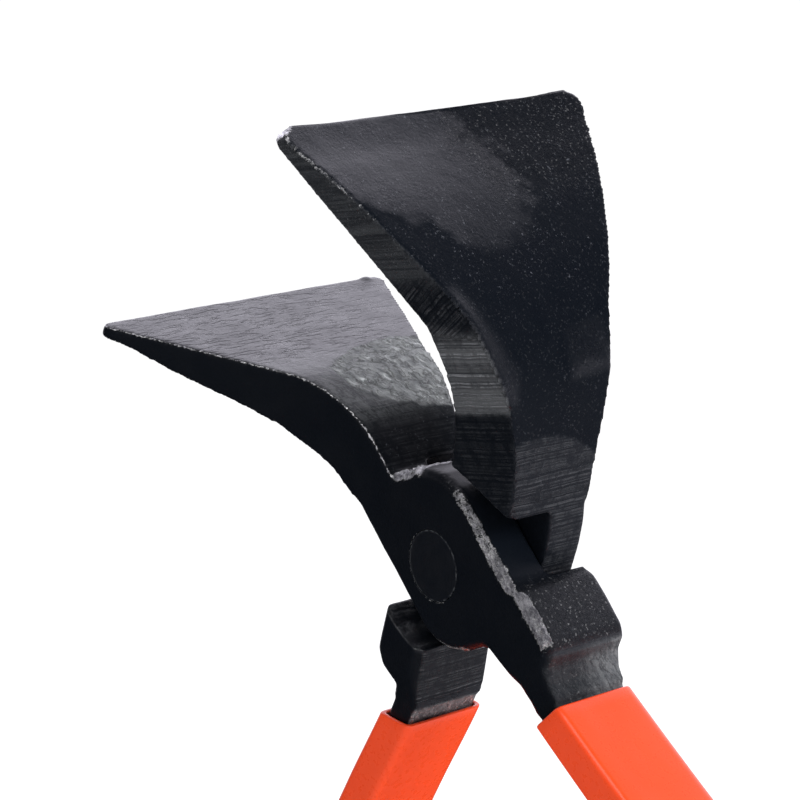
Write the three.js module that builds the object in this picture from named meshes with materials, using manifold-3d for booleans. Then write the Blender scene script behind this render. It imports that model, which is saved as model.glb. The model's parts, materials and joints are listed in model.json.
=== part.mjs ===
// Bent seaming pliers, open, standing on the ends of their grips. Millimetres, +Z up, pivot axis
// along Y above the origin.
// Each lever is drawn in the closed position, with the parting plane of the two jaw roots on x = 0,
// and its group is then turned about the pivot to the open rest position.
import * as THREE from "three";
import { mergeVertices } from "three/addons/utils/BufferGeometryUtils.js";
import Module from "manifold-3d";

// ---- Driving dimensions -------------------------------------------------------------------------
const OPENING = 52.9; // degrees between the levers at rest
const LEAN = -8; // degrees from +Z toward -X of the closed parting plane
const PIVOT_HEIGHT = 171.76; // pivot axis above the ends of the grips at rest
const CHEEK = 8; // thickness of one lap cheek
const LAP_GAP = 0.12; // each cheek stops this far from the middle plane
const EDGE_BEVEL = 1.2; // forged chamfer round cheeks and blocks
const SHOULDER_R = 17.2; // clearance arc of a full-thickness shoulder round the other cheek
const REAR_BLOCK_R = 15.3; // the same arc where the rear block meets the front cheek

const RIVET_R = 5.0;
const RIVET_HEAD_R = 5.6; // countersunk head, flush with the cheek
const RIVET_HEAD_H = 1.4;
const RIVET_GAP = 0.09; // radial running clearance

const LIP_HALF = 26.6; // straight part of the lip, half width
const LIP_CORNER = 1.8;
const FLARE_TILT = 30; // degrees from +Z toward -X of the direction the blades widen in
const FLARE_SLOPE = 0.515; // half width gained per mm in that direction
const FLARE_RUN = 29; // length over which the flare is straight

const BAR_WIDE = 13.8; // handle bar, along Y
const BAR_THICK = 4.8;
const FRONT_BAR_START = 7; // mm along the handle line, inside the neck of the block
const REAR_BAR_START = 3.4;
const GRIP_WIDE = 15.6;
const GRIP_THICK = 6.8; // at the mouth
const GRIP_END_THICK = 8.4; // at the closed end
const GRIP_GAP = 0.15; // between bar and sleeve
const GRIP_MOUTH = 9.2; // mm along the handle line from its start in the block
const FRONT_MOUTH_TILT = 10; // degrees the dip line rises toward +X
const REAR_MOUTH_TILT = 16;
const GRIP_END_WALL = 2.2;

// Blade of each jaw: root face x, angle of the gripping face from +Z toward -X, its distance from
// the pivot, the knee radius, the length from the foot of the perpendicular to the lip, and the
// thickness of the blade as [distance from the lip, thickness] pairs.
const FRONT_BLADE = {
  root: -1.9,
  angle: 47.7,
  reach: 21.2,
  knee: 21.5,
  length: 63.2,
  taper: [[0, 2.0], [5, 2.8], [9, 4.0], [15, 5.8], [22, 7.5]],
};
const REAR_BLADE = {
  root: -1.5,
  angle: 50.8,
  reach: 25.1,
  knee: 24.0,
  length: 63.1,
  taper: [[0, 2.0], [5, 3.4], [9, 5.0], [15, 7.0], [22, 8.6]],
};

const STEEL = { color: 0x24262b, roughness: 0.42, metalness: 0.85 };
const RIVET_STEEL = { color: 0x1d1e22, roughness: 0.5, metalness: 0.85 };
const VINYL = { color: 0xf26a35, roughness: 0.3, metalness: 0.0 };

// ---- Helpers ------------------------------------------------------------------------------------
const wasm = await Module();
wasm.setup();

const rad = THREE.MathUtils.degToRad;
const v2 = (x, z) => new THREE.Vector2(x, z);

// Direction `degrees` from +Z toward -X in the XZ plane.
const heading = (degrees) => v2(-Math.sin(rad(degrees)), Math.cos(rad(degrees)));

function solid(geometry) {
  const bare = geometry.index ? geometry.toNonIndexed() : geometry.clone();
  bare.deleteAttribute("normal");
  bare.deleteAttribute("uv");
  const merged = mergeVertices(bare, 1e-4);
  const vertProperties = new Float32Array(merged.attributes.position.array);
  const triVerts = new Uint32Array(merged.index.array);
  return new wasm.Manifold(new wasm.Mesh({ numProp: 3, vertProperties, triVerts }));
}

function toMesh(body, name, look) {
  const raw = body.getMesh();
  const geometry = new THREE.BufferGeometry();
  const position = new Float32Array(raw.numVert * 3);
  for (let i = 0; i < raw.numVert; i++) {
    const start = i * raw.numProp;
    position.set(raw.vertProperties.subarray(start, start + 3), i * 3);
  }
  geometry.setAttribute("position", new THREE.BufferAttribute(position, 3));
  geometry.setIndex(new THREE.BufferAttribute(new Uint32Array(raw.triVerts), 1));
  const flat = geometry.toNonIndexed();
  flat.computeVertexNormals();
  const mesh = new THREE.Mesh(flat, new THREE.MeshStandardMaterial(look));
  mesh.name = name;
  return mesh;
}

// An XZ outline as a slab between two Y planes, with an optional chamfer inside the outline.
function slab(points, yLow, yHigh, bevel = 0, steps = 1) {
  const settings = {
    depth: yHigh - yLow - 2 * bevel,
    bevelEnabled: bevel > 0,
    bevelSize: bevel,
    bevelThickness: bevel,
    bevelOffset: -bevel,
    bevelSegments: steps,
    curveSegments: 1,
  };
  const geometry = new THREE.ExtrudeGeometry(new THREE.Shape(points), settings);
  geometry.rotateX(Math.PI / 2);
  geometry.translate(0, yHigh - bevel, 0);
  return solid(geometry);
}

// A cylinder or cone on the pivot axis.
function onPivot(rLow, rHigh, yLow, yHigh, sides = 72) {
  const geometry = new THREE.CylinderGeometry(rHigh, rLow, yHigh - yLow, sides);
  geometry.translate(0, (yLow + yHigh) / 2, 0);
  return solid(geometry);
}

const arc = (radius, from, to, steps) =>
  Array.from({ length: steps + 1 }, (_, i) => {
    const turn = rad(from + ((to - from) * i) / steps);
    return v2(radius * Math.sin(turn), radius * Math.cos(turn));
  });

const smooth = (points, steps) => new THREE.SplineCurve(points).getPoints(steps);

// ---- Jaws ---------------------------------------------------------------------------------------
// Gripping face from the root up: straight root, knee arc, straight blade.
function grippingFace(blade) {
  const along = heading(blade.angle);
  const out = v2(along.y, -along.x);
  const foot = out.clone().multiplyScalar(blade.reach);
  const cornerZ = (blade.reach - blade.root * out.x) / out.y;
  const tangent = blade.knee * Math.tan(rad(blade.angle / 2));
  const centre = v2(blade.root - blade.knee, cornerZ - tangent);
  const knee = [];
  const kneeSteps = 9;
  for (let i = 0; i <= kneeSteps; i++) {
    const turn = rad((blade.angle * i) / kneeSteps);
    knee.push(v2(Math.cos(turn), Math.sin(turn)).multiplyScalar(blade.knee).add(centre));
  }
  const lip = foot.clone().addScaledVector(along, blade.length);
  return { knee, lip, along, out };
}

function bladeBack(blade, face, side) {
  return blade.taper.map(([fromLip, thick]) =>
    face.lip
      .clone()
      .addScaledVector(face.along, -fromLip)
      .addScaledVector(face.out, side * thick),
  );
}

// Solid that limits a jaw's width: narrow at the root, flaring evenly toward the lip.
function flare(lip) {
  const along = heading(FLARE_TILT);
  const lipAt = lip.dot(along);
  const wide = LIP_HALF + LIP_CORNER;
  const start = lipAt - LIP_CORNER - FLARE_RUN;
  const corner = [];
  for (let i = 0; i <= 4; i++) {
    const turn = rad((90 * i) / 4);
    const y = LIP_HALF + LIP_CORNER * Math.cos(turn);
    corner.push(v2(y, lipAt - LIP_CORNER * (1 - Math.sin(turn))));
  }
  const straightFoot = wide - FLARE_RUN * FLARE_SLOPE;
  const rise = smooth(
    [v2(CHEEK, 8), v2(CHEEK, 14), v2(8.7, 19.5), v2(10.3, 26), v2(straightFoot, start)],
    18,
  );
  const half = [...rise, ...corner, v2(LIP_HALF, lipAt + 8)];
  const mirrored = half.map((p) => v2(-p.x, p.y)).reverse();
  const geometry = new THREE.ExtrudeGeometry(new THREE.Shape([...half, ...mirrored]), {
    depth: 160,
    bevelEnabled: false,
  });
  geometry.translate(0, 0, -80);
  const basis = new THREE.Matrix4().makeBasis(
    new THREE.Vector3(0, 1, 0),
    new THREE.Vector3(along.x, 0, along.y),
    new THREE.Vector3(along.y, 0, -along.x),
  );
  geometry.applyMatrix4(basis);
  return solid(geometry);
}

function jaw(blade, side, rootBack) {
  const face = grippingFace(blade);
  const back = smooth([...bladeBack(blade, face, side), ...rootBack], 40);
  const foot = rootBack[rootBack.length - 1].y;
  const outline = [v2(blade.root, foot), ...face.knee, face.lip, ...back];
  if (side > 0) outline.reverse();
  return slab(outline, -40, 40).intersect(flare(face.lip));
}

const FRONT_ROOT_BACK = [
  v2(-18.9, 34.2),
  v2(-15.4, 27.6),
  v2(-12.9, 21.9),
  v2(-12.2, 17.5),
  v2(-10.0, 12.0),
];
const REAR_ROOT_BACK = [
  v2(-5.1, 48.9),
  v2(0.1, 44.9),
  v2(4.5, 40.2),
  v2(8.0, 35.4),
  v2(10.4, 29.9),
  v2(11.8, 23.5),
  v2(12.6, 18.0),
  v2(11.5, 12.0),
];

// ---- Handles ------------------------------------------------------------------------------------
// Points are [sideways, down] from the pivot in the closed tool, whose handle axis is vertical.
const handlePoint = ([sideways, down]) =>
  v2(sideways, -down).rotateAround(v2(0, 0), rad(-LEAN));

const FRONT_HANDLE = [
  [6.2, 20.5],
  [7.7, 29.3],
  [12.3, 48.5],
  [17.3, 67],
  [21.4, 86],
  [23.9, 106],
  [24.9, 128],
  [24.7, 152],
  [23.4, 177],
  [21, 202],
];
const REAR_HANDLE = [
  [-2.4, 20.5],
  [-4.4, 28.8],
  [-11, 47],
  [-17, 65.5],
  [-21.4, 86],
  [-23.9, 106],
  [-24.9, 128],
  [-24.7, 152],
  [-23.4, 177],
  [-21, 202],
];

// A strip that follows a handle line between two lengths, as an XZ outline with a rounded end.
function strip(line, from, to, halfAt) {
  const total = line.getLength();
  const steps = 26;
  const left = [];
  const right = [];
  for (let i = 0; i <= steps; i++) {
    const u = (from + ((to - from) * i) / steps) / total;
    const centre = line.getPointAt(u);
    const tangent = line.getTangentAt(u);
    const side = v2(-tangent.y, tangent.x).multiplyScalar(halfAt(u));
    left.push(centre.clone().add(side));
    right.unshift(centre.clone().sub(side));
  }
  const end = line.getPointAt(to / total);
  const tangent = line.getTangentAt(to / total);
  const radius = halfAt(to / total);
  const cap = [];
  for (let i = 1; i < 8; i++) {
    const turn = (Math.PI * i) / 8;
    const sideways = v2(-tangent.y, tangent.x).multiplyScalar(radius * Math.cos(turn));
    cap.push(end.clone().add(sideways).addScaledVector(tangent, radius * Math.sin(turn)));
  }
  return [...left, ...cap, ...right].reverse();
}

// The half plane above a grip's dip line.
function aboveMouth(line, tilt) {
  const at = line.getPointAt(GRIP_MOUTH / line.getLength());
  const reach = 14;
  const corners = [v2(-reach, 0), v2(reach, 0), v2(reach, reach), v2(-reach, reach)];
  const turned = corners.map((p) => p.rotateAround(v2(0, 0), rad(tilt)).add(at));
  return slab(turned, -GRIP_WIDE, GRIP_WIDE);
}

function handle(points, barStart, mouthTilt) {
  const line = new THREE.SplineCurve(points.map(handlePoint));
  const total = line.getLength();
  const gripHalf = (u) => (GRIP_THICK + (GRIP_END_THICK - GRIP_THICK) * u) / 2;
  const barEnd = total - GRIP_END_WALL - BAR_THICK / 2;
  const gripEnd = total - GRIP_END_THICK / 2;
  const barOutline = strip(line, barStart, barEnd, () => BAR_THICK / 2);
  const bar = slab(barOutline, -BAR_WIDE / 2, BAR_WIDE / 2, 0.5);
  const holeOutline = strip(line, 0, barEnd, () => BAR_THICK / 2 + GRIP_GAP);
  const holeHalf = BAR_WIDE / 2 + GRIP_GAP;
  const outside = strip(line, GRIP_MOUTH - 5, gripEnd, gripHalf);
  const sleeve = slab(outside, -GRIP_WIDE / 2, GRIP_WIDE / 2, 1.5, 3);
  const grip = sleeve
    .subtract(slab(holeOutline, -holeHalf, holeHalf))
    .subtract(aboveMouth(line, mouthTilt));
  return { bar, grip };
}

// ---- Cheeks and blocks --------------------------------------------------------------------------
const FRONT_SHANK = [
  v2(-12.3, 17.8),
  v2(-12.5, 13.5),
  v2(-11.3, 6.6),
  v2(-9.9, 0.2),
  v2(-9.1, -4.2),
  v2(-8.3, -7.9),
  v2(-7.0, -10.3),
  v2(-4.8, -12.2),
  v2(-1.0, -13.9),
  v2(3.0, -14.5),
  v2(4.3, -15.2),
  v2(5.4, -17.8),
  v2(6.8, -20.6),
  v2(8.2, -22.5),
  v2(8.7, -24.8),
  v2(9.1, -27.4),
  v2(14.5, -26.8),
  v2(14.6, -24.4),
  v2(15.6, -22.2),
  v2(17.7, -20.9),
  v2(18.3, -18.8),
  v2(17.6, -14.0),
  v2(16.7, -10.2),
  v2(15.4, -8.9),
  v2(14.7, -6.2),
  v2(13.7, -1.5),
  v2(13.2, 2.2),
  v2(12.7, 5.1),
  v2(11.6, 8.4),
  v2(9.4, 11.5),
  v2(6.6, 13.5),
  v2(3.2, 14.7),
  v2(-0.6, 15.1),
  v2(-1.9, 15.9),
  v2(-1.9, 18.5),
  v2(-8, 19.5),
];
const REAR_SHANK = [
  v2(-1.5, 19),
  v2(-1.5, 15.6),
  ...arc(15.4, -8, -66, 9),
  v2(-13.9, 2.0),
  v2(-12.9, -2.8),
  v2(-11.1, -6.9),
  v2(-9.3, -10.1),
  v2(-8.6, -12.6),
  v2(-8.5, -18.0),
  v2(-8.3, -20.9),
  v2(-6.4, -23.4),
  v2(-2.6, -24.4),
  v2(-2.6, -26.6),
  v2(2.6, -26.6),
  v2(2.6, -24.2),
  v2(2.2, -21.8),
  v2(1.6, -17.2),
  ...arc(14.7, 174, 98, 9),
  v2(14.0, 4.0),
  v2(14.1, 9.5),
  v2(13.7, 13.5),
  v2(12.7, 17.8),
  v2(8, 19.5),
];

// Narrows the neck from the block's full thickness to the handle bar's width.
function neckLimit() {
  const half = [
    v2(CHEEK, 40),
    v2(CHEEK, -20.2),
    v2(7.6, -22.6),
    v2(7.1, -25.0),
    v2(BAR_WIDE / 2, -27.5),
    v2(BAR_WIDE / 2, -40),
  ];
  const mirrored = half.map((p) => v2(-p.x, p.y)).reverse();
  const geometry = new THREE.ExtrudeGeometry(new THREE.Shape([...half, ...mirrored].reverse()), {
    depth: 80,
    bevelEnabled: false,
  });
  geometry.translate(0, 0, -40);
  const basis = new THREE.Matrix4().makeBasis(
    new THREE.Vector3(0, 1, 0),
    new THREE.Vector3(0, 0, 1),
    new THREE.Vector3(1, 0, 0),
  );
  geometry.applyMatrix4(basis);
  return solid(geometry);
}

// Space for the other lever's cheek, on one side of the middle plane.
function lapSpace(yLow, yHigh, shapes) {
  return shapes
    .map((outline) => slab(outline, yLow, yHigh))
    .reduce((all, one) => all.add(one));
}

const circle = (radius) => arc(radius, 360, 0, 96).slice(0, -1);
const upperHalf = arc(SHOULDER_R, 95, -95, 48);
const rearShoulder = [v2(0, -4), v2(20, -4), v2(20, 15.7), v2(0, SHOULDER_R)];

// Bore through a cheek, with the countersink for the rivet head on the outer side.
function bore(outer) {
  const hole = onPivot(RIVET_R + RIVET_GAP, RIVET_R + RIVET_GAP, -20, 20);
  const inner = outer * (CHEEK - RIVET_HEAD_H);
  const past = outer * (CHEEK + 1);
  const slope = (RIVET_HEAD_R - RIVET_R) / RIVET_HEAD_H;
  const mouth = RIVET_HEAD_R + RIVET_GAP + slope;
  const narrow = RIVET_R + RIVET_GAP;
  const sink =
    outer > 0 ? onPivot(narrow, mouth, inner, past) : onPivot(mouth, narrow, past, inner);
  return hole.add(sink);
}

// ---- The five pieces ----------------------------------------------------------------------------
const frontHandle = handle(FRONT_HANDLE, FRONT_BAR_START, FRONT_MOUTH_TILT);
const rearHandle = handle(REAR_HANDLE, REAR_BAR_START, REAR_MOUTH_TILT);

const frontLever = slab(FRONT_SHANK, -CHEEK, CHEEK, EDGE_BEVEL)
  .intersect(neckLimit())
  .add(jaw(FRONT_BLADE, -1, FRONT_ROOT_BACK))
  .add(frontHandle.bar)
  .subtract(lapSpace(-LAP_GAP, 30, [circle(SHOULDER_R)]))
  .subtract(bore(-1));

const rearLever = slab(REAR_SHANK, -CHEEK, CHEEK, EDGE_BEVEL)
  .intersect(neckLimit())
  .add(jaw(REAR_BLADE, 1, REAR_ROOT_BACK))
  .add(rearHandle.bar)
  .subtract(lapSpace(-30, LAP_GAP, [circle(REAR_BLOCK_R), upperHalf, rearShoulder]))
  .subtract(bore(1));

const rivetProfile = [
  v2(0, -CHEEK),
  v2(RIVET_HEAD_R, -CHEEK),
  v2(RIVET_R, -CHEEK + RIVET_HEAD_H),
  v2(RIVET_R, CHEEK - RIVET_HEAD_H),
  v2(RIVET_HEAD_R, CHEEK),
  v2(0, CHEEK),
];
const rivet = solid(new THREE.LatheGeometry(rivetProfile, 72));

// ---- Assembly -----------------------------------------------------------------------------------
const tool = new THREE.Group();
tool.name = "seaming_pliers";
tool.position.z = PIVOT_HEIGHT;

const frontGroup = new THREE.Group();
frontGroup.name = "front";
frontGroup.rotation.y = -rad(LEAN + OPENING / 2);
frontGroup.add(toMesh(frontLever, "lever_front", STEEL));
frontGroup.add(toMesh(frontHandle.grip, "grip_front", VINYL));

const rearGroup = new THREE.Group();
rearGroup.name = "rear";
rearGroup.rotation.y = -rad(LEAN - OPENING / 2);
rearGroup.add(toMesh(rearLever, "lever_rear", STEEL));
rearGroup.add(toMesh(rearHandle.grip, "grip_rear", VINYL));
rearGroup.add(toMesh(rivet, "rivet_pivot", RIVET_STEEL));

tool.add(frontGroup, rearGroup);

export default tool;
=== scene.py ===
import json
import math

import bmesh
import bpy
import numpy as np
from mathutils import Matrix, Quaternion, Vector, noise


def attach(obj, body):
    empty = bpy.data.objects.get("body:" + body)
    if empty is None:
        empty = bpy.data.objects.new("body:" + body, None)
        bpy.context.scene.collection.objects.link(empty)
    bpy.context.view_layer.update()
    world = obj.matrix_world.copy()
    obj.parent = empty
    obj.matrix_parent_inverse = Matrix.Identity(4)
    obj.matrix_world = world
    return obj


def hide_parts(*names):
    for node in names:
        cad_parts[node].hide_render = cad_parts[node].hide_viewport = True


# Bent seaming pliers, open: two forged, blackened levers, a flush rivet and two dipped vinyl grips.
# Each piece is worked out in its own lever's closed position, in millimetres from the pivot, with
# y along the pivot axis and z up the jaw root, and is then turned to its place in the open tool.
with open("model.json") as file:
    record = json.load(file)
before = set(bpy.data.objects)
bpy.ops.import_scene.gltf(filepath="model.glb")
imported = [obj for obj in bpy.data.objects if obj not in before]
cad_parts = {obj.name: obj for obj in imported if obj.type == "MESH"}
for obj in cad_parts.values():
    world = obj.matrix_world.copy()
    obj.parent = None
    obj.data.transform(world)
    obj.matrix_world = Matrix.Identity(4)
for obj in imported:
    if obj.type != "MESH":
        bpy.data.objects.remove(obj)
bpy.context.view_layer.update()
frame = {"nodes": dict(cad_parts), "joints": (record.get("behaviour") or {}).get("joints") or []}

MM = 0.001
PIVOT = np.array(frame["joints"][0]["pos_m"])
OPENING = math.radians(frame["joints"][0]["range_deg"][1])
LEAN = math.radians(-8)  # of the closed jaw roots away from the middle line of the handles
TURN = {"front": -LEAN - OPENING / 2, "rear": -LEAN + OPENING / 2}
OUTER = {"front": -1, "rear": 1}  # side of the middle plane that each lever's cheek lies on

# Sizes in mm.
CHEEK = 8.0
LAP_GAP = 0.12
RIVET_R = 5.0
RIVET_HEAD_R = 5.6
RIVET_HEAD_H = 1.4
RIVET_GAP = 0.09
BAR_WIDE = 13.8
BAR_THICK = 4.8
GRIP_WIDE = 15.6
GRIP_THICK = 6.8
GRIP_END_THICK = 8.4
GRIP_GAP = 0.15
GRIP_MOUTH = 9.2
GRIP_END_WALL = 2.2
BAR_END_GAP = 0.1
VOXEL = 0.4

# Angle of each gripping face from the root's plane, and its distance from the pivot.
BLADES = {"front": (math.radians(47.7), 21.2), "rear": (math.radians(50.8), 25.1)}
MOUTH_TILT = {"front": math.radians(10), "rear": math.radians(16)}
# Middle line of each handle in the closed tool, as (sideways, distance below the pivot).
HANDLE_TAIL = [(21.4, 86), (23.9, 106), (24.9, 128), (24.7, 152), (23.4, 177), (21, 202)]
HANDLES = {
    "front": [(6.2, 20.5), (7.7, 29.3), (12.3, 48.5), (17.3, 67)] + HANDLE_TAIL,
    "rear": [(-2.4, 20.5), (-4.4, 28.8), (-11, 47), (-17, 65.5)] + [(-a, b) for a, b in HANDLE_TAIL],
}


# ---- Places ------------------------------------------------------------------------------------
def rotated(points, angle):
    """Points or directions turned by an angle about the pivot axis."""
    c, s = math.cos(angle), math.sin(angle)
    x, y, z = points.T
    return np.stack([x * c - z * s, y, x * s + z * c], 1)


def to_lever(points, body):
    """Row frame in metres to the lever's closed position in millimetres."""
    return rotated((points - PIVOT) / MM, TURN[body])


def to_row(points, body):
    """The lever's closed position in millimetres to the row frame in metres."""
    return rotated(np.asarray(points, float), -TURN[body]) * MM + PIVOT


def coordinates(mesh):
    flat = np.empty(len(mesh.vertices) * 3)
    mesh.vertices.foreach_get("co", flat)
    return flat.reshape(-1, 3)


def normals(mesh, body):
    """Vertex normals turned into the lever's closed position."""
    flat = np.empty(len(mesh.vertices) * 3, np.float32)
    mesh.vertex_normals.foreach_get("vector", flat)
    return rotated(flat.reshape(-1, 3), TURN[body])


def linked(name, mesh):
    obj = bpy.data.objects.new(name, mesh)
    bpy.context.scene.collection.objects.link(obj)
    return obj


def store(mesh, label, values):
    """Keeps one number or vector per point for a material to read."""
    kind, field = ("FLOAT_VECTOR", "vector") if values.ndim == 2 else ("FLOAT", "value")
    attribute = mesh.attributes.new(label, kind, "POINT")
    attribute.data.foreach_set(field, values.astype(np.float32).ravel())


def place(name, mesh, body, material, node, sharp):
    """Makes a finished mesh one piece of a body, standing for a CAD node.

    Edges that bend by more than `sharp` degrees are shaded as corners.
    """
    mesh.name = name
    store(mesh, "lever_mm", to_lever(coordinates(mesh), body))
    mesh.shade_smooth()
    mesh.set_sharp_from_angle(angle=math.radians(sharp))
    mesh.materials.clear()
    mesh.materials.append(material)
    obj = linked(name, mesh)
    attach(obj, body)
    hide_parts(node)


# ---- Shaping -----------------------------------------------------------------------------------
def ramp(value, low, high):
    """Smooth step from 0 at `low` to 1 at `high`; it falls where `low` is the greater."""
    t = np.clip((value - low) / (high - low), 0, 1)
    return t * t * (3 - 2 * t)


def lumps(points, size, octaves=2, seed=0):
    """Signed noise whose broadest lumps are `size` mm across."""
    shift = Vector((3.7 * seed, 11.3 * seed, 5.9 * seed))
    fading, narrowing = 0.9, 2.0
    return np.array([
        noise.fractal(Vector(p) / size + shift, fading, narrowing, octaves) for p in points
    ])


def inside(u, v, outline, soft):
    """1 within a closed outline of (u, v) points and 0 outside, blended `soft` to each side."""
    nearest = np.full(len(u), np.inf)
    crossings = np.zeros(len(u), bool)
    for (u0, v0), (u1, v1) in zip(outline, outline[1:] + outline[:1]):
        du, dv = u1 - u0, v1 - v0
        share = np.clip(((u - u0) * du + (v - v0) * dv) / (du * du + dv * dv), 0, 1)
        gap = np.hypot(u - u0 - share * du, v - v0 - share * dv)
        nearest = np.minimum(nearest, gap)
        if dv:
            spans = (v0 > v) != (v1 > v)
            crossings ^= spans & (u < u0 + (v - v0) * du / dv)
    return ramp(np.where(crossings, nearest, -nearest), -soft, soft)


def averaged(values, mesh, rounds):
    """Values spread over the mesh by repeated averaging with the neighbours."""
    flat = np.empty(len(mesh.edges) * 2, np.int32)
    mesh.edges.foreach_get("vertices", flat)
    a, b = flat.reshape(-1, 2).T
    count = np.bincount(a, minlength=len(values)) + np.bincount(b, minlength=len(values))
    for _ in range(rounds):
        total = np.zeros_like(values)
        for column in range(values.shape[1]):
            total[:, column] += np.bincount(a, values[b, column], len(values))
            total[:, column] += np.bincount(b, values[a, column], len(values))
        values = total / np.maximum(count, 1)[:, None]
    return values


def apply_modifiers(obj):
    graph = bpy.context.evaluated_depsgraph_get()
    mesh = bpy.data.meshes.new_from_object(obj.evaluated_get(graph))
    bpy.data.objects.remove(obj)
    return mesh


def closed_mesh(name, points, faces, body):
    """Mesh in the row frame with coinciding points merged and faces turned outward."""
    touching = 1e-7
    mesh = bpy.data.meshes.new(name)
    mesh.from_pydata(to_row(points, body).tolist(), [], faces)
    bm = bmesh.new()
    bm.from_mesh(mesh)
    bmesh.ops.remove_doubles(bm, verts=bm.verts, dist=touching)
    bmesh.ops.dissolve_degenerate(bm, edges=bm.edges, dist=touching)
    bmesh.ops.recalc_face_normals(bm, faces=bm.faces)
    bm.to_mesh(mesh)
    bm.free()
    return mesh


def turned(name, profile, sides, body):
    """Closed solid of revolution about the pivot axis from (radius, y) points, tip to tip."""
    points = []
    faces = []
    for radius, y in profile:
        for i in range(sides):
            angle = 2 * math.pi * i / sides
            points.append((radius * math.sin(angle), y, radius * math.cos(angle)))
    for ring in range(len(profile) - 1):
        for i in range(sides):
            j = (i + 1) % sides
            low, high = ring * sides, (ring + 1) * sides
            faces.append((low + i, high + i, high + j, low + j))
    return closed_mesh(name, points, faces, body)


# ---- Finish of the levers ----------------------------------------------------------------------
# Outlines on the blades are (distance along the blade, y) points in mm; a lone pair is a spot.
# Rough ground patch across the knee of the front jaw.
KNEE_PATCH = [
    (31.0, -6.0), (25.1, -6.1), (22.9, -4.2), (20.9, -0.6), (19.3, 4.0), (18.6, 9.0), (18.4, 30.0),
    (27.0, 30.0), (31.0, 20.5), (35.4, 16.8), (37.6, 12.5), (37.7, 8.5), (36.4, 3.5), (33.4, -3.1),
]
FRONT_BURR = (62.3, 25.3)
TORN_EDGE = (1.5, 15.0)  # x and z of the torn top of the front cheek
# Outlines of sheens reflected on the rear jaw's back, painted by letting it mirror fully within
# them; elsewhere the back mirrors little, which paints it dark.
BACK_BRIGHT_SHEEN = [
    (72.0, -34.0), (54.0, -34.0), (48.5, -22.0), (46.5, -17.5), (44.0, -12.0), (39.0, -9.5),
    (37.8, -3.8), (39.6, 3.0), (44.1, 7.5), (49.7, 7.0), (55.7, 5.5), (60.0, 3.0), (72.0, -3.0),
]
BACK_NEAR_SHEEN = [
    (32.0, -20.0), (15.5, -14.0), (15.5, -8.4), (19.0, -7.2), (24.6, -10.4), (32.0, -14.0),
]
BACK_FAR_SHEEN = [(23.5, 4.0), (24.5, 10.5), (17.5, 10.5), (17.0, 3.2)]
REAR_CHIP = (62.8, -28.0)
# Half width of the rear jaw at distances in the direction that the blades widen in.
FLARE_TILT = math.radians(30)
REAR_HALF_WIDTHS = [(14.0, 19.5, 26.0, 37.1, 66.1), (8.0, 8.7, 10.3, 13.5, 28.4)]

# Relief in mm.
FORGED_LUMPS = 0.08
FORGED_GRAIN = 0.012
EDGE_WAVER = 0.02
PATCH_RELIEF = 0.55
PATCH_DEPTH = 0.2
BEVEL_RELIEF = 0.14
TORN_RELIEF = 0.3
BURR_HEIGHT = 0.3  # less than the gap that the closed lips leave
SAND_RELIEF = 0.06
GROUND_SIDE_DEPTH = 0.12
GROUND_ROOT_DEPTH = 0.1
BACK_HOLLOW = 0.25
BACK_CURVE = 0.0011  # rise of the hollow back per square mm from its middle line
BACK_LUMPS = 0.2
EDGE_CURL = 0.024  # rise of the near edge of the back per square mm
FAR_SHEEN_RISE = 0.5


class Skin:
    """Surface of a lever: its points in the closed position and the measures of its finish.

    A subclass names the lever and works out its zones, each a strength from 0 to 1 per point. Its
    numbers in pairs are places, in mm, between which a zone fades in or out. The marks it gives
    to the material are grit (sandy relief), lined (grinding lines), pitted (short dashes), bare
    (worn to metal), pale (ground light, and a painted highlight on the front neck), specked (fine
    bright specks) and dull (mirrors little: ground faces, and painted shade on faces toward -y
    and on the rear back away from its painted sheen).
    """

    body = None
    NEAR_FACE = (0.6, 0.8)  # share of a normal toward -y
    WORN_BEND = (0.22, 0.34)  # height in mm of a point over its smoothed surroundings

    def __init__(self, mesh):
        angle, reach = BLADES[self.body]
        self.points = to_lever(coordinates(mesh), self.body)
        self.normal = normals(mesh, self.body)
        x, _, z = self.points.T
        nx, ny, nz = self.normal.T
        self.along = z * math.cos(angle) - x * math.sin(angle)
        self.ahead = x * math.cos(angle) + z * math.sin(angle) - reach
        self.facing = nx * math.cos(angle) + nz * math.sin(angle)
        self.near_face = ramp(-ny, *self.NEAR_FACE)
        self.bend = ((self.points - averaged(self.points, mesh, 8)) * self.normal).sum(1)
        self.edge = ramp(self.bend, *self.WORN_BEND)
        self.wander = lumps(self.points, 7, seed=3)
        self.find_zones()

    def from_spot(self, spot):
        """Distance on the blade from an (along, y) spot."""
        return np.hypot(self.along - spot[0], self.points[:, 1] - spot[1])

    def strengths(self):
        """Marks cut off at 0 and 1."""
        return {label: np.clip(values, 0, 1) for label, values in self.marks().items()}


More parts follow.
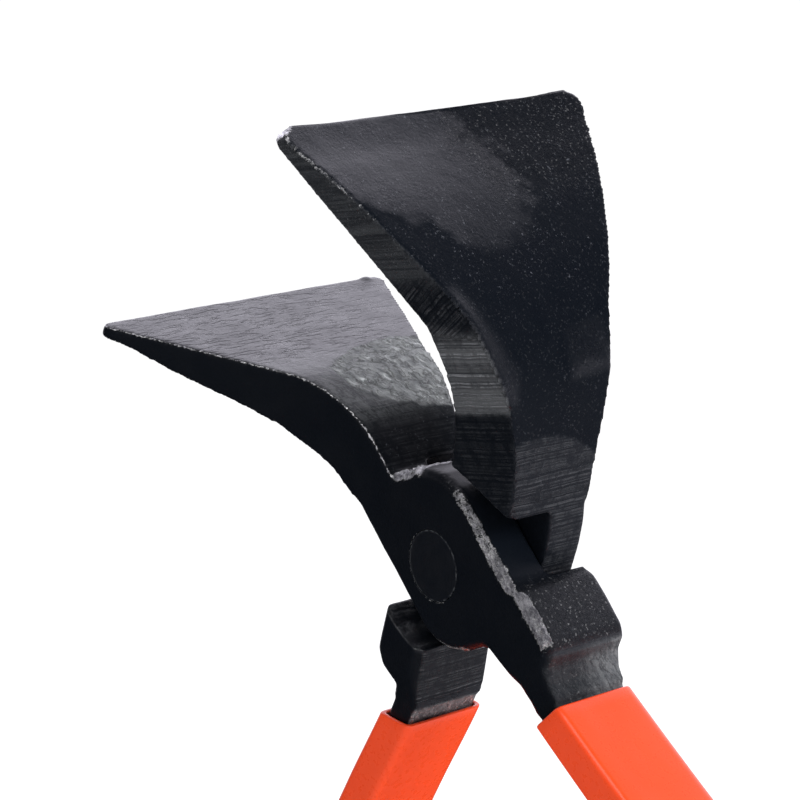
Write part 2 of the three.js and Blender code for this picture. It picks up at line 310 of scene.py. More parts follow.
class FrontSkin(Skin):
    body = "front"
    ROOT_FACE = -1.9
    ROOT_FOOT = (13, 15)
    PATCH_FOOT = (17, 20)
    PATCH_SOFT = 0.45
    KNEE_END = (33, 40)
    BEVEL_SIDE = (3, 6)
    BEVEL_FOOT = (-21, -18)
    TORN_TOP = (16.5, 17.5)
    TORN_RADII = (5.0, 3.5)
    BURR_RADII = (1.5, 0.2)
    BLOCK_SIDE = (10.5, 12)
    BLOCK_FOOT = (-20.5, -19.5)
    BLOCK_TOP = (-10, -7)
    NECK_TOP = (-21.5, -20.0)
    EDGE_FACE_FOOT = (-19.5, -18.5)

    def find_zones(self):
        x, y, z = self.points.T
        nx, ny, nz = self.normal.T
        along, fine = self.along, lumps(self.points, 1.6, seed=4)
        self.gripping = ramp(self.ahead, -6, -2) * ramp(self.facing, 0.6, 0.85)
        self.root = ramp(nx, 0.7, 0.9) * ramp(np.abs(x - self.ROOT_FACE), 1.2, 0.6)
        self.root *= ramp(z, *self.ROOT_FOOT)
        self.patch = inside(along + 0.5 * fine, y + 0.5 * self.wander, KNEE_PATCH, self.PATCH_SOFT)
        self.patch *= ramp(nx + nz, 0.7, 0.95) * ramp(z, *self.PATCH_FOOT)
        past_knee = ramp(along, *self.KNEE_END)
        self.knee = self.gripping * (1 - past_knee) * (1 - self.patch)
        self.tip = self.gripping * past_knee * (1 - self.patch)
        self.low = 1 - ramp(z, -14, 6)
        self.bevel = ramp(nx - ny + 0.15 * self.low, 1.2, 1.38)
        self.bevel *= ramp(z, *self.BEVEL_FOOT) * ramp(x, *self.BEVEL_SIDE)
        self.torn = ramp(np.hypot(x - TORN_EDGE[0], z - TORN_EDGE[1]), *self.TORN_RADII)
        self.torn *= ramp(nz, 0.3, 0.6) * (1 - ramp(z, *self.TORN_TOP))
        self.heel = ramp(-ny, 0.25, 0.45) * ramp(0.9 - np.abs(ny), 0, 0.25) * (1 - ramp(x, -1, 1))
        self.block = ramp(nx, 0.5, 0.8) * ramp(x, *self.BLOCK_SIDE)
        self.block *= ramp(z, *self.BLOCK_FOOT) * (1 - ramp(z, *self.BLOCK_TOP))
        self.neck = ramp(nx, 0.3, 0.7) * (1 - ramp(z, *self.NECK_TOP))
        self.edge_face = ramp(nx + 0.9 * nz, 0.75, 0.95) * ramp(x, 3.5, 5) * (1 - self.torn)
        self.edge_face *= ramp(z, *self.EDGE_FACE_FOOT) * ramp(z, -11, -9)

    def marks(self):
        _, y, z = self.points.T
        near_line = self.edge * ramp(-y, 5, 7) * (0.5 + 0.5 * ramp(z, 24, 18)) * ramp(z, 12, 14)
        near_line *= 1 - 0.35 * ramp(self.along, 20, 30)
        # Painted highlight: the front neck is made paler toward +y.
        painted_neck_highlight = self.neck * ramp(y, -3, 7)
        low_knee = self.knee * (1 - ramp(self.along, 27, 34))
        return {
            "grit": self.patch + 0.9 * self.bevel + 0.9 * self.torn + self.block + 0.4 * self.neck,
            "lined": 0.35 * self.knee + 0.12 * self.root * (1 - self.patch),
            "pitted": self.tip * (1 - 0.6 * ramp(y, 2, 20)),
            "bare": self.bevel * (0.8 + 0.2 * self.low) + self.torn + 0.85 * near_line
            + 0.8 * self.heel,
            "pale": self.patch + 0.1 * self.knee + 0.02 * self.neck + 0.12 * painted_neck_highlight,
            "specked": 0.15 * self.gripping + 0.5 * self.root + self.block,
            # Faces toward -y mirror little here: painted shade on the near side.
            "dull_and_painted_shade": 0.82 * self.root + 0.7 * self.edge_face + 0.3 * self.block
            + 0.8 * self.near_face + 0.7 * low_knee + 0.65 * self.neck,
        }

    def line_level(self):
        """Height across the grinding lines: parallel to the lip on the blade, level elsewhere."""
        return np.where(self.gripping > 0.3, self.along, self.points[:, 2])

    def relief(self):
        """Height in mm worked into the surface."""
        burr = ramp(self.from_spot(FRONT_BURR), *self.BURR_RADII) * ramp(self.ahead, -3, -0.5)
        rough = BEVEL_RELIEF * self.bevel + TORN_RELIEF * self.torn
        lift = PATCH_RELIEF * self.patch * lumps(self.points, 2.1, octaves=3, seed=5)
        lift -= PATCH_DEPTH * self.patch
        return lift + rough * lumps(self.points, 1.5, seed=6) + BURR_HEIGHT * burr


class RearSkin(Skin):
    body = "rear"
    JAW_FOOT = (15, 17)
    SIDE_GROUND_FROM = (23.6, 24.4)
    SIDE_GROUND_TO = (33.5, 38)
    SIDE_SCRATCHED_TO = (43, 47)
    ROOT_FOOT = (0, 3)
    ROOT_TOP = 28.6
    ROOT_TOP_MIDDLE = -3.5
    ROOT_TOP_CURVE = 0.035  # drop of the ground root's upper edge per square mm from its middle
    BLOCK_TOP = (-14, -13)
    BLOCK_FOOT = (-25.2, -24.6)
    SHOULDER_TOP = (-10, -8)
    SHOULDER_FOOT = (-18, -15)
    COLLAR_TOP = (-26.6, -25.8)
    SAND_FROM = (42, 52)
    CHIP_RADII = (1.7, 0.9)
    CURL_FROM = (12, 16)
    CURL_TO = (29, 36)
    CURL_WIDTH = 5.5

    def find_zones(self):
        x, y, z = self.points.T
        nx, _, nz = self.normal.T
        jaw = ramp(z, *self.JAW_FOOT)
        self.rise = 0.87 * z - 0.5 * x  # across the grinding lines on the near side
        self.side = self.near_face * jaw
        above_root = ramp(self.rise, *self.SIDE_GROUND_FROM)
        ground_end = ramp(self.rise + self.wander, *self.SIDE_GROUND_TO)
        scratch_end = ramp(self.rise, *self.SIDE_SCRATCHED_TO)
        self.side_foot = self.side * (1 - above_root)
        self.ground_side = self.side * above_root * (1 - ground_end)
        self.scratched = self.side * ground_end * (1 - scratch_end)
        self.mottled = self.side * scratch_end
        self.back = ramp(self.facing, 0.5, 0.7) * jaw
        root_top = self.ROOT_TOP - self.ROOT_TOP_CURVE * (y - self.ROOT_TOP_MIDDLE) ** 2
        self.ground_root = ramp(nx, 0.8, 0.9) * ramp(z, *self.ROOT_FOOT)
        self.ground_root *= 1 - ramp(z, root_top - 0.4, root_top + 0.4)
        self.block = ramp(nx, 0.8, 0.95)
        self.block *= (1 - ramp(z, *self.BLOCK_TOP)) * ramp(z, *self.BLOCK_FOOT)
        self.shoulder = ramp(nz, 0.7, 0.85)
        self.shoulder *= (1 - ramp(z, *self.SHOULDER_TOP)) * ramp(z, *self.SHOULDER_FOOT)
        self.collar = ramp(nx, 0.7, 0.85) * (1 - ramp(z, *self.COLLAR_TOP))
        self.sandy = self.back * ramp(self.along, *self.SAND_FROM)
        self.sandy *= ramp(y + 3 * self.wander, -2, 5)

    def marks(self):
        y = self.points[:, 1]
        chip = ramp(self.from_spot(REAR_CHIP), *self.CHIP_RADII)
        near_line = self.edge * ramp(self.along, 43, 47) * ramp(-y, 5, 10)
        # Painted shade: away from its painted sheen the back mirrors little.
        painted_dark_back = self.back * (1 - self.painted_sheen()) * (1 - self.ground_root)
        return {
            "grit": 0.6 * self.sandy + 0.3 * self.mottled + 0.12 * self.back,
            "lined": self.ground_side + 0.18 * self.scratched + 0.25 * self.ground_root
            + 0.4 * self.block + 0.3 * self.shoulder + 0.1 * self.side_foot,
            "pitted": np.zeros(len(y)),
            "bare": 0.6 * near_line + chip + 0.55 * self.collar,
            "pale": 0.06 * self.ground_side + 0.12 * self.collar + 0.03 * self.mottled,
            "specked": self.back * (0.3 + 0.7 * ramp(self.along, 27, 37)) + 0.4 * self.mottled,
            # Faces toward -y and the back away from its sheen mirror little: painted shade.
            "dull_and_painted_shade": painted_dark_back + 0.75 * self.ground_root + 0.65 * self.block + 0.8 * self.near_face,
        }

    def painted_sheen(self):
        """Where sheen is painted on the back: it mirrors fully there and little elsewhere."""
        along, y = self.along, self.points[:, 1]
        ragged = lumps(self.points, 3.5, octaves=3, seed=14)
        waved = y + 0.4 * self.wander
        sheen = inside(along + 1.5 * self.wander, y + 3.5 * ragged, BACK_BRIGHT_SHEEN, 1.7)
        sheen *= 1 - 0.55 * ramp(y, -16, 2)
        sheen += 0.8 * inside(along, waved, BACK_NEAR_SHEEN, 1.6)
        return sheen + inside(along, waved, BACK_FAR_SHEEN, 1.2)

    def line_level(self):
        """Height across the grinding lines: slanting on the near side, level elsewhere."""
        x, _, z = self.points.T
        scratches = 0.58 * z - 0.82 * x
        level = z + 0.35 * (1 - self.normal[:, 0]) * x
        level = np.where(self.side > 0.3, self.rise, level)
        return np.where(self.scratched > 0.5, scratches, level)

    def relief(self):
        """Height in mm worked into the surface."""
        x, y, z = self.points.T
        across = z * math.cos(FLARE_TILT) - x * math.sin(FLARE_TILT)
        from_edge = np.interp(across, *REAR_HALF_WIDTHS) + y
        curl = np.clip(self.CURL_WIDTH - from_edge, 0, 6) ** 2
        curl *= ramp(self.along, *self.CURL_FROM) * (1 - ramp(self.along, *self.CURL_TO))
        hollow = BACK_CURVE * y * y - BACK_HOLLOW
        hollow += BACK_LUMPS * lumps(self.points, 14, octaves=1, seed=12)
        far_sheen = inside(self.along, y, BACK_FAR_SHEEN, 3.5) * ramp(self.along, 24, 16)
        lift = SAND_RELIEF * self.sandy * lumps(self.points, 1.4, seed=5)
        lift -= GROUND_SIDE_DEPTH * self.ground_side + GROUND_ROOT_DEPTH * self.ground_root
        lift += self.back * (1 - self.ground_root) * hollow
        return lift + EDGE_CURL * self.back * curl + FAR_SHEEN_RISE * self.back * far_sheen


SKINS = {"front": FrontSkin, "rear": RearSkin}


# ---- Levers ------------------------------------------------------------------------------------
FILL_R = 6.6  # wider than the countersink, still inside the cheek
PLUG_SIDES = 48
BORE_SIDES = 96
SOFTENING = 7  # rounds of smoothing, for edges about half a millimetre round
CORNER_BEND = 55  # degrees
# Places between which the relief dies out: from the middle plane, the pivot axis and in height.
LAP_CLEAR = (1.0, 0.5)
BORE_CLEAR = (9.0, 6.5)
GRIP_CLEAR = (-31, -28)


def remeshed(name, node, body):
    """Fine even copy of a CAD lever with its bore filled in and its edges softened."""
    inner, outer = OUTER[body] * LAP_GAP, OUTER[body] * CHEEK
    plug = [(0, inner), (FILL_R, inner), (FILL_R, outer), (0, outer)]
    filler = turned("filler", plug, PLUG_SIDES, body)
    mesh = frame["nodes"][node].data.copy()
    bm = bmesh.new()
    bm.from_mesh(mesh)
    bm.from_mesh(filler)
    bpy.data.meshes.remove(filler)
    bmesh.ops.remove_doubles(bm, verts=bm.verts, dist=1e-6)
    bm.to_mesh(mesh)
    bm.free()
    shape = linked(name + "_shape", mesh)
    remesh = shape.modifiers.new("remesh", "REMESH")
    remesh.mode = "VOXEL"
    remesh.voxel_size = VOXEL * MM
    soften = shape.modifiers.new("soften", "SMOOTH")
    soften.factor = 0.5
    soften.iterations = SOFTENING
    return apply_modifiers(shape)


def weathered(mesh, body):
    """Works unevenness, wear and grinding into a fine lever, clear of the joint and the grip."""
    skin = SKINS[body](mesh)
    x, y, z = skin.points.T
    lapped = ramp(np.abs(y), *LAP_CLEAR) * (np.abs(skin.normal[:, 1]) > 0.5)
    round_bore = ramp(np.hypot(x, z), *BORE_CLEAR)
    in_grip = 1 - ramp(z, *GRIP_CLEAR)
    free = 1 - np.clip(lapped + round_bore + in_grip, 0, 1)
    lift = skin.relief()
    lift += FORGED_LUMPS * lumps(skin.points, 8, seed=1)
    lift += FORGED_GRAIN * lumps(skin.points, 1.8, seed=2)
    lift += EDGE_WAVER * ramp(skin.bend, 0.08, 0.2) * lumps(skin.points, 3.5, seed=8)
    shaped = skin.points + skin.normal * (lift * free)[:, None]
    mesh.vertices.foreach_set("co", to_row(shaped, body).ravel())
    mesh.update()
    return mesh


def bored(name, mesh, body):
    """The lever with a clean countersunk bore for the rivet."""
    outer = OUTER[body]
    narrow = RIVET_R + RIVET_GAP
    wide = RIVET_HEAD_R + RIVET_GAP
    cutter = [
        (0, -outer), (narrow, -outer), (narrow, outer * (CHEEK - RIVET_HEAD_H)),
        (wide, outer * CHEEK), (wide, outer * (CHEEK + 1)), (0, outer * (CHEEK + 1)),
    ]
    drill = linked("drill", turned("drill", cutter, BORE_SIDES, body))
    blank = linked(name + "_blank", mesh)
    bore = blank.modifiers.new("bore", "BOOLEAN")
    bore.operation = "DIFFERENCE"
    bore.solver = "EXACT"
    bore.object = drill
    finished = apply_modifiers(blank)
    bpy.data.objects.remove(drill)
    return finished


def forged(name, node, body, material):
    """Fine copy of a CAD lever with forging unevenness, wear and marks for its material."""
    mesh = bored(name, weathered(remeshed(name, node, body), body), body)
    skin = SKINS[body](mesh)
    for label, values in skin.strengths().items():
        store(mesh, label, values)
    store(mesh, "line_level", skin.line_level())
    place(name, mesh, body, material, node, sharp=CORNER_BEND)


# ---- Rivet -------------------------------------------------------------------------------------
def rivet(name, node, body, material):
    """Countersunk both ends, peened flush, with a broken rim and a very slight crown."""
    rim = 0.12
    crown = 0.04
    crown_steps = 6
    half = [(0, CHEEK + crown)]
    for step in range(1, crown_steps + 1):
        share = step / crown_steps
        half.append(((RIVET_HEAD_R - rim) * share, CHEEK + crown * (1 - share**2)))
    half.append((RIVET_HEAD_R - 0.3 * rim, CHEEK - 0.3 * rim))
    half.append((RIVET_HEAD_R, CHEEK - rim))
    half.append((RIVET_R, CHEEK - RIVET_HEAD_H))
    mesh = turned(name, [(r, -y) for r, y in half] + half[::-1], BORE_SIDES, body)
    place(name, mesh, body, material, node, sharp=35)


# ---- Grips -------------------------------------------------------------------------------------
class HandleLine:
    """Curve through a lever's handle points, read by length from the block."""

    SAMPLE = 0.005  # share of the span between two handle points
    HEADING_REACH = 0.4

    def __init__(self, body):
        c, s = math.cos(-LEAN), math.sin(-LEAN)
        drawn = [(a * c + b * s, a * s - b * c) for a, b in HANDLES[body]]
        points = np.array([drawn[0]] + drawn + [drawn[-1]])
        sampled = []
        for i in range(len(drawn) - 1):
            p0, p1, p2, p3 = points[i:i + 4]
            v0, v1 = (p2 - p0) / 2, (p3 - p1) / 2
            for t in np.arange(0, 1, self.SAMPLE):
                cubic = (2 * p1 - 2 * p2 + v0 + v1) * t**3 + (3 * p2 - 3 * p1 - 2 * v0 - v1) * t**2
                sampled.append(cubic + v0 * t + p1)
        self.points = np.array(sampled + [points[-1]])
        steps = np.hypot(*np.diff(self.points, axis=0).T)
        self.lengths = np.concatenate([[0], np.cumsum(steps)])
        self.total = self.lengths[-1]

    def at(self, length):
        return np.stack([np.interp(length, self.lengths, self.points[:, k]) for k in (0, 1)], -1)

    def heading(self, length):
        step = self.at(length + self.HEADING_REACH) - self.at(length - self.HEADING_REACH)
        return step / np.linalg.norm(step, axis=-1, keepdims=True)


def section(half_thick, half_wide, near, far):
    """Rounded rectangle as (sideways, y) points; the corners at -y have the radius `near`."""
    corner_steps, flat_steps = 7, 5
    corners = [(1, 1, far, 0), (-1, 1, far, 90), (-1, -1, near, 180), (1, -1, near, 270)]
    outline = []
    for sx, sy, radius, start in corners:
        for step in range(corner_steps):
            angle = math.radians(start + 90 * step / (corner_steps - 1))
            cx, cy = sx * (half_thick - radius), sy * (half_wide - radius)
            outline.append(np.array([cx + radius * math.cos(angle), cy + radius * math.sin(angle)]))
    full = []
    for k, point in enumerate(outline):
        full.append(point)
        if k % corner_steps == corner_steps - 1:
            follow = outline[(k + 1) % len(outline)]
            full += [point + (follow - point) * i / flat_steps for i in range(1, flat_steps)]
    return np.array(full)


class Sleeve:
    """Rings of a dipped grip round its handle line, from the closed end to the bar's end."""

    NEAR_RADIUS = 1.1  # of the corners at -y
    LEAST = 0.02  # left of a radius or thickness where the dome closes
    SLIVER = 0.001  # flat that is left between two corners
    LIP = 0.34  # half thickness of the rolled lip at the mouth
    SQUARE_BY = 0.12  # share of the length over which the rings turn square to the handle
    DOME_STEPS = 9
    WALL_STEPS = 90
    LIP_STEPS = 6
    HOLE_STEPS = 30

    def __init__(self, body, far_radius):
        self.line = HandleLine(body)
        self.far_radius = far_radius
        self.rings = []
        heading = self.line.heading(GRIP_MOUTH)
        dip = np.array([math.cos(MOUTH_TILT[body]), math.sin(MOUTH_TILT[body])])
        self.slope = dip @ heading / (dip @ np.array([-heading[1], heading[0]]))
        self.hole = section(BAR_THICK / 2 + GRIP_GAP, BAR_WIDE / 2 + GRIP_GAP, near=0.6, far=0.8)

    def ring(self, profile, length, mouth_share):
        """One ring; mouth_share 1 follows the tilted dip line, 0 is square to the handle."""
        sideways, y = profile.T
        at = length + mouth_share * self.slope * sideways
        tangent = self.line.heading(at)
        side = np.stack([-tangent[:, 1], tangent[:, 0]], 1)
        flat = self.line.at(at) + side * sideways[:, None]
        self.rings.append(np.stack([flat[:, 0], y, flat[:, 1]], 1))

    def outline(self, length, inset=0.0):
        """Section of the outside at a length, or the given inset within it."""
        share = length / self.line.total
        half = (GRIP_THICK + (GRIP_END_THICK - GRIP_THICK) * share) / 2 - inset
        largest = max(half - self.SLIVER, self.SLIVER)
        near = min(max(self.NEAR_RADIUS - inset, self.LEAST), largest)
        far = min(max(self.far_radius - inset, self.LEAST), largest)
        return section(half, GRIP_WIDE / 2 - inset, near, far)

    def dome(self, end):
        height = GRIP_END_THICK / 2
        for step in range(self.DOME_STEPS):
            angle = math.pi / 2 * (1 - step / self.DOME_STEPS)
            inset = min(height * (1 - math.cos(angle)), height - self.LEAST)
            self.ring(self.outline(end, inset), end + height * math.sin(angle), 0)

    def wall(self, end):
        start = GRIP_MOUTH + self.LIP
        for step in range(self.WALL_STEPS + 1):
            u = 1 - step / self.WALL_STEPS
            length = start + (end - start) * u
            self.ring(self.outline(length), length, 1 - ramp(u, 0.0, self.SQUARE_BY))

    def rolled_lip(self):
        outside = self.outline(GRIP_MOUTH)
        for step in range(1, self.LIP_STEPS):
            angle = math.pi * step / self.LIP_STEPS
            profile = outside + (self.hole - outside) * (1 - math.cos(angle)) / 2
            self.ring(profile, GRIP_MOUTH + self.LIP * (1 - math.sin(angle)), 1)

    def cavity(self, end):
        start = GRIP_MOUTH + self.LIP
        for step in range(self.HOLE_STEPS + 1):
            u = step / self.HOLE_STEPS
            self.ring(self.hole, start + (end - start) * u, 1 - ramp(u, 0.0, self.SQUARE_BY))


def grip(name, node, body, material, far_radius):
    """Dipped sleeve: soft outer skin with a rolled lip, closed end and a cavity for the bar."""
    sleeve = Sleeve(body, far_radius)
    end = sleeve.line.total - GRIP_END_THICK / 2
    sleeve.dome(end)
    sleeve.wall(end)
    sleeve.rolled_lip()
    sleeve.cavity(sleeve.line.total - GRIP_END_WALL + BAR_END_GAP)

    count, rings = len(sleeve.rings[0]), len(sleeve.rings)
    faces = [tuple(range(count)), tuple(range((rings - 1) * count, rings * count))]
    for k in range(rings - 1):
        for i in range(count):
            j = (i + 1) % count
            faces.append((k * count + i, k * count + j, (k + 1) * count + j, (k + 1) * count + i))
    mesh = closed_mesh(name, np.concatenate(sleeve.rings), faces, body)
    place(name, mesh, body, material, node, sharp=60)


# ---- Materials ---------------------------------------------------------------------------------
def colour(red, green, blue):
    return red, green, blue, 1


class Graph:
    """Short-hand for building the nodes of a material or world."""

    def __init__(self, owner):
        owner.use_nodes = True
        self.owner = owner
        self.tree = owner.node_tree
        self.tree.nodes.clear()

    def add(self, kind, settings=(), **inputs):
        """Adds a node. Its inputs go by name, or by number as i0, i1 and so on, and each is a
        number, a tuple or another node's output socket."""
        node = self.tree.nodes.new(kind)
        for key, value in dict(settings).items():
            setattr(node, key, value)
        for key, value in inputs.items():
            index = int(key[1:]) if key[0] == "i" and key[1:].isdigit() else key.replace("_", " ")
            if isinstance(value, bpy.types.NodeSocket):
                self.tree.links.new(value, node.inputs[index])
            else:
                node.inputs[index].default_value = value
        return node

    def math(self, operation, a, b=0.0):
        return self.add("ShaderNodeMath", {"operation": operation}, i0=a, i1=b).outputs[0]

    def times(self, product, *factors):
        for factor in factors:
            product = self.math("MULTIPLY", product, factor)
        return product

    def plus(self, total, *terms):
        for term in terms:
            total = self.math("ADD", total, term)
        return total

    def weighted(self, *pairs):
        """Sum of (pattern, weight) pairs."""
        return self.plus(*(self.times(pattern, weight) for pattern, weight in pairs))

    def attribute(self, name, output="Fac"):
        return self.add("ShaderNodeAttribute", {"attribute_name": name}).outputs[output]

    def noise(self, vector, scale, detail=3.0, rough=0.55, stretch=None):
        if stretch:
            vector = self.add("ShaderNodeMapping", Vector=vector, Scale=stretch).outputs[0]
        node = self.add("ShaderNodeTexNoise", Vector=vector, Scale=scale, Detail=detail,
                        Roughness=rough)
        return node.outputs["Fac"]

    def spread(self, value, low, high, to_low=0.0, to_high=1.0):
        node = self.add("ShaderNodeMapRange", {"interpolation_type": "SMOOTHSTEP"}, Value=value,
                        From_Min=low, From_Max=high, To_Min=to_low, To_Max=to_high)
        return node.outputs["Result"]

    def mix(self, share, a, b):
        node = self.add("ShaderNodeMix", {"data_type": "RGBA"}, i0=share, i6=a, i7=b)
        return node.outputs[2]

    def coated(self, base, *coats):
        """Base colour under (share, colour) coats."""
        for share, coat in coats:
            base = self.mix(share, base, coat)
        return base

    def surface(self, height, **inputs):
        """Principled surface whose bump height is given in millimetres."""
        bump = self.add("ShaderNodeBump", Strength=1.0, Distance=MM, Height=height)
        shader = self.add("ShaderNodeBsdfPrincipled", Normal=bump.outputs[0], **inputs)
        self.add("ShaderNodeOutputMaterial", Surface=shader.outputs[0])
        return self.owner


def grinding_lines(g, mm):
    """Broken parallel lines where the surface is marked as lined."""
    waver = g.times(g.noise(mm, 0.2, detail=2.0), 0.6)
    comb = g.add("ShaderNodeTexNoise", {"noise_dimensions": "1D"},
                 W=g.plus(g.attribute("line_level"), waver), Scale=2.4, Detail=4.0, Roughness=0.75)
    broken = g.spread(g.noise(mm, 0.5, detail=4.0, rough=0.7), 0.38, 0.6, 0.1, 1.0)
    return g.times(g.spread(comb.outputs["Fac"], 0.4, 0.68), g.attribute("lined"), broken)


def ground_rock(g, mm):
    """Slanting lumps and the creases between them, for coarsely ground patches."""
    level = g.attribute("line_level")
    y = g.add("ShaderNodeSeparateXYZ", Vector=mm).outputs[1]
    slanted = g.add("ShaderNodeCombineXYZ", X=g.times(level, 0.5), Y=g.plus(y, g.times(level, 0.4)))
    place_mm = slanted.outputs[0]
    rock = g.spread(g.noise(place_mm, 0.9, detail=6.0, rough=0.75), 0.27, 0.62)
    folds = g.math("ABSOLUTE", g.math("SUBTRACT", g.noise(place_mm, 0.5, detail=4.0, rough=0.65), 0.5))
    return rock, g.spread(folds, 0.0, 0.05, 1.0, 0.0)


def blackened_steel(name):
    """Black forged steel: oxide skin, grinding lines, coarse patches and bare worn metal."""
    g = Graph(bpy.data.materials.new(name))
    mm = g.attribute("lever_mm", "Vector")
    grit, pale, dull_and_painted_shade = g.attribute("grit"), g.attribute("pale"), g.attribute("dull_and_painted_shade")
    broad = g.noise(mm, 0.16, detail=3.0)
    cloudy = g.noise(mm, 0.45, detail=4.0)
    grain = g.noise(mm, 2.2, detail=4.0, rough=0.65)
    lines = grinding_lines(g, mm)
    rock, creases = ground_rock(g, mm)
    rough_ground = g.times(pale, grit)
    dashes = g.noise(mm, 0.9, detail=3.0, rough=0.6, stretch=(1.3, 0.3, 1.3))
    pits = g.times(g.spread(dashes, 0.5, 0.64), g.attribute("pitted"))
    sand = g.times(g.noise(mm, 1.6, detail=5.0, rough=0.75), grit)
    sparkle = g.times(g.spread(g.noise(mm, 2.4, detail=2.0), 0.62, 0.7), grit)
    dots = g.spread(g.noise(mm, 1.8, detail=4.0, rough=0.8), 0.6, 0.66)
    in_places = g.spread(g.noise(mm, 0.3, detail=2.0), 0.42, 0.6)
    specks = g.times(dots, g.attribute("specked"), in_places)
    ragged = g.noise(mm, 1.3, detail=6.0, rough=0.8)
    chipped = g.spread(g.plus(ragged, g.times(g.attribute("bare"), 0.4)), 0.74, 0.86)

    height = g.weighted(
        (cloudy, 0.08), (grain, 0.05), (lines, 0.1), (sand, 0.55),
        (g.times(rock, rough_ground), 1.9), (g.times(creases, rough_ground), -0.8),
        (pits, -0.16), (specks, 0.05),
    )
    ground = g.mix(rock, colour(0.33, 0.345, 0.39), colour(0.93, 0.96, 1.0))
    # Painted shade: the creases between the lumps are darkened in colour.
    ground = g.mix(g.times(creases, 0.6), ground, colour(0.08, 0.083, 0.09))
    oxide = g.coated(
        g.mix(broad, colour(0.002, 0.003, 0.0052), colour(0.0038, 0.005, 0.0074)),
        (pale, ground),
        (g.times(lines, 0.75), colour(0.17, 0.175, 0.19)),
        (g.times(sparkle, 0.35), colour(0.3, 0.3, 0.31)),
        (g.times(specks, 0.45), colour(0.17, 0.18, 0.21)),
    )
    worn = g.noise(mm, 1.1, detail=5.0, rough=0.75, stretch=(1.0, 1.0, 0.5))
    metal = g.mix(g.spread(worn, 0.35, 0.65), colour(0.28, 0.28, 0.3), colour(1.0, 1.0, 1.0))
    roughness = g.plus(
        g.spread(broad, 0.3, 0.7, 0.2, 0.28),
        g.weighted((grain, 0.08), (grit, 0.05), (g.attribute("lined"), 0.14), (dull_and_painted_shade, 0.1)),
    )
    return g.surface(
        height, Base_Color=g.mix(chipped, oxide, metal), Roughness=roughness, Metallic=chipped,
        # Mirrors less where marked: ground faces, and painted shade on faces toward -y and the rear
        # back.
        IOR=1.6, Specular_IOR_Level=g.math("SUBTRACT", 0.5, g.times(dull_and_painted_shade, 0.46)))


def rivet_steel(name):
    """The same black skin over a peened end, with faint rings from the peening tool."""
    g = Graph(bpy.data.materials.new(name))
    mm = g.attribute("lever_mm", "Vector")
    x, _, z = g.add("ShaderNodeSeparateXYZ", Vector=mm).outputs
    radius = g.math("SQRT", g.plus(g.math("POWER", x, 2.0), g.math("POWER", z, 2.0)))
    rings = g.math("SINE", g.times(radius, 9.0))
    cloudy = g.noise(mm, 0.5, detail=4.0)
    grain = g.noise(mm, 2.6, detail=4.0, rough=0.65)
    worn_rim = g.times(g.spread(radius, RIVET_HEAD_R - 0.3, RIVET_HEAD_R - 0.1),
                       g.spread(g.noise(mm, 1.2, detail=3.0), 0.4, 0.6), 0.3)
    oxide = g.mix(cloudy, colour(0.0022, 0.0034, 0.006), colour(0.0042, 0.0056, 0.0085))
    return g.surface(
        g.weighted((cloudy, 0.03), (grain, 0.012), (rings, 0.002)),
        Base_Color=g.mix(worn_rim, oxide, colour(0.14, 0.15, 0.16)),
        Roughness=g.spread(cloudy, 0.3, 0.7, 0.28, 0.42), IOR=1.6)


def dipped_vinyl(name):
    """Glossy orange dip: faint sags and orange peel, a few dark specks, scuffs that dull it."""
    g = Graph(bpy.data.materials.new(name))
    mm = g.attribute("lever_mm", "Vector")
    sags = g.noise(mm, 0.09, detail=2.0, rough=0.5, stretch=(1.0, 1.0, 0.35))
    peel = g.noise(mm, 0.9, detail=2.0)
    tone = g.noise(mm, 0.05, detail=3.0)
    scuff = g.spread(g.noise(mm, 0.35, detail=4.0, rough=0.7), 0.55, 0.75)
    specks = g.spread(g.noise(mm, 0.7, detail=1.0), 0.85, 0.88)
    orange = g.mix(tone, colour(0.68, 0.046, 0.005), colour(0.73, 0.058, 0.008))
    return g.surface(
        g.weighted((sags, 0.5), (peel, 0.002), (scuff, 0.0015)),
        Base_Color=g.mix(g.times(specks, 0.7), orange, colour(0.18, 0.03, 0.01)),
        Roughness=g.plus(g.spread(peel, 0.3, 0.7, 0.26, 0.32), g.times(scuff, 0.06)),
        IOR=1.5, Coat_Weight=0.25, Coat_Roughness=0.12)


# ---- Studio ------------------------------------------------------------------------------------
def camera_at(location, aim, roll, lens):
    """Camera looking from one place to another, in metres, rolled by some degrees."""
    data = bpy.data.cameras.new("camera")
    data.lens = lens
    data.sensor_width = 36
    data.clip_start = 0.01
    obj = linked("camera", data)
    look = Vector(aim - location).to_track_quat("-Z", "Y")
    obj.rotation_mode = "QUATERNION"
    obj.location = location
    obj.rotation_quaternion = look @ Quaternion((0, 0, 1), math.radians(roll))
    bpy.context.scene.camera = obj


def softbox(name, direction, distance, size, irradiance, mirrored):
    """Square lamp aimed at the pivot that gives about this irradiance there."""
    data = bpy.data.lights.new(name, "AREA")
    data.size = size
    data.energy = irradiance * math.pi * distance**2
    obj = linked(name, data)
    obj.visible_glossy = mirrored
    unit = Vector(direction).normalized()
    obj.location = Vector(PIVOT) + unit * distance
    obj.rotation_euler = (-unit).to_track_quat("-Z", "Y").to_euler()


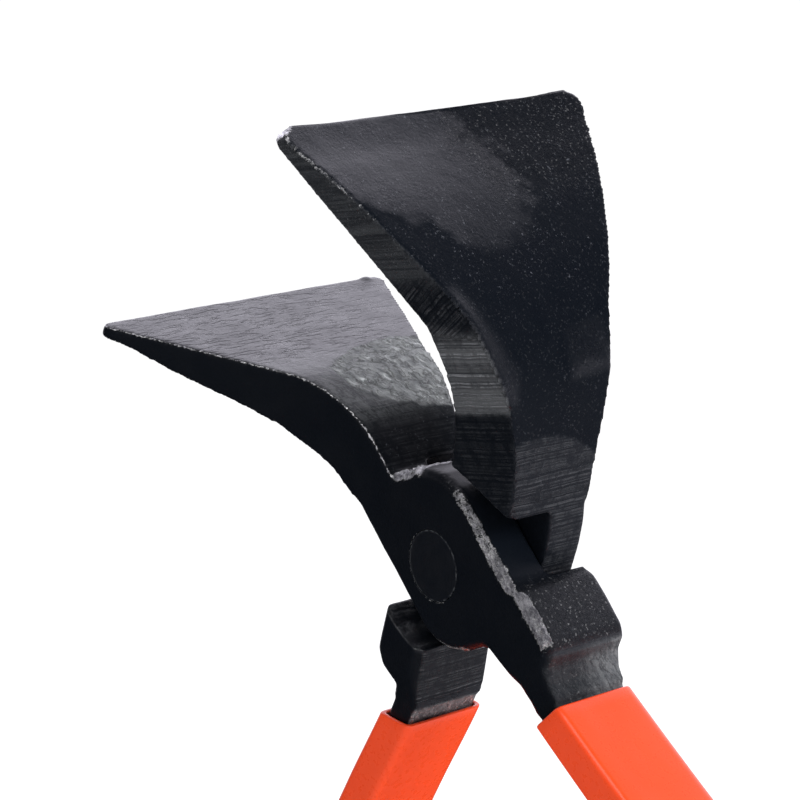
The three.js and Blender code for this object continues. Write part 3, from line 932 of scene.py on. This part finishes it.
def tent(sky, sky_steps, ground, front, behind, fill):
    """White surround. Reflections see a bright sky on one side, paler glows off the floor and
    from behind and a faint one in front, with black flags elsewhere; the camera sees plain white,
    and matt surfaces an even fill. `sky_steps` are the angles from the sky's middle at which it
    begins, is half as bright and is full."""
    world = bpy.data.worlds.new("tent")
    world.cycles.sampling_method = "NONE"
    bpy.context.scene.world = world
    g = Graph(world)
    direction = g.add("ShaderNodeTexCoord").outputs["Generated"]

    def toward(vector):
        unit = tuple(Vector(vector).normalized())
        settings = {"operation": "DOT_PRODUCT"}
        return g.add("ShaderNodeVectorMath", settings, i0=direction, i1=unit).outputs["Value"]

    edge, core, centre = (math.cos(math.radians(angle)) for angle in sky_steps)
    bright = g.plus(g.spread(toward(sky), edge, core, 0.015, 0.62),
                    g.spread(toward(sky), core, centre, 0.0, 0.95))
    below = g.spread(toward((0, 0, -1)), 0.06, 0.2)
    floor_glow = g.times(g.spread(toward(ground), 0.3, 0.75), below, 0.7)
    front_glow = g.times(g.spread(toward(front), 0.5, 0.95), 0.3)
    rim_glow = g.times(g.spread(toward(behind), 0.86, 0.97), 0.7)
    mirrored = g.plus(bright, floor_glow, front_glow, rim_glow)
    path = g.add("ShaderNodeLightPath").outputs
    strength = g.weighted((path["Is Camera Ray"], 1.05), (path["Is Diffuse Ray"], fill),
                          (path["Is Glossy Ray"], mirrored))
    tint = g.mix(path["Is Glossy Ray"], colour(1, 1, 1), colour(1.0, 0.97, 1.1))
    background = g.add("ShaderNodeBackground", Color=tint, Strength=strength)
    g.add("ShaderNodeOutputWorld", Surface=background.outputs[0])


def floor(size, drop):
    """Plain pale floor just under the grips."""
    mesh = bpy.data.meshes.new("floor")
    h = size / 2
    corners = [(-h, -h, -drop), (h, -h, -drop), (h, h, -drop), (-h, h, -drop)]
    mesh.from_pydata(corners, [], [(0, 1, 2, 3)])
    g = Graph(bpy.data.materials.new("floor_white"))
    metres = g.add("ShaderNodeTexCoord").outputs["Object"]
    mesh.materials.append(g.surface(
        g.times(g.noise(metres, 40.0), 0.05), Base_Color=colour(0.93, 0.93, 0.93), Roughness=0.9,
        Emission_Color=colour(1, 1, 1), Emission_Strength=0.52))
    obj = linked("floor", mesh)
    obj.visible_glossy = False


# ---- The tool on its floor ---------------------------------------------------------------------
steel = blackened_steel("forged_steel_black")
rivet_black = rivet_steel("rivet_steel_black")
vinyl = dipped_vinyl("grip_vinyl_orange")
forged("front_lever", "lever_front", "front", steel)
forged("rear_lever", "lever_rear", "rear", steel)
rivet("pivot_rivet", "rivet_pivot", "rear", rivet_black)
grip("front_grip", "grip_front", "front", vinyl, far_radius=2.3)
grip("rear_grip", "grip_rear", "rear", vinyl, far_radius=1.6)

eye = PIVOT + (0.32927, -0.25889, 0.04481)
target = PIVOT + (-0.00580, -0.00433, 0.02539)
camera_at(eye, target, roll=-9.868, lens=123.24)
floor(size=12.0, drop=0.0006)
tent(sky=(-0.5, 0.55, 0.67), sky_steps=(70, 50, 12), ground=(0.75, 0.65, 0),
     front=(0.62, -0.78, 0.1), behind=target - eye, fill=0.58)
softbox("key", (0.55, -0.75, 0.75), distance=0.9, size=0.5, irradiance=0.65, mirrored=True)
softbox("side", (1.0, 0.12, 0.35), distance=1.0, size=0.4, irradiance=3.2, mirrored=False)
softbox("top", (-0.25, 0.45, 0.9), distance=0.9, size=0.7, irradiance=0.7, mirrored=False)
bpy.context.scene.view_settings.view_transform = "Standard"
bpy.context.scene.view_settings.look = "None"
bpy.context.scene.view_settings.exposure = 0.0
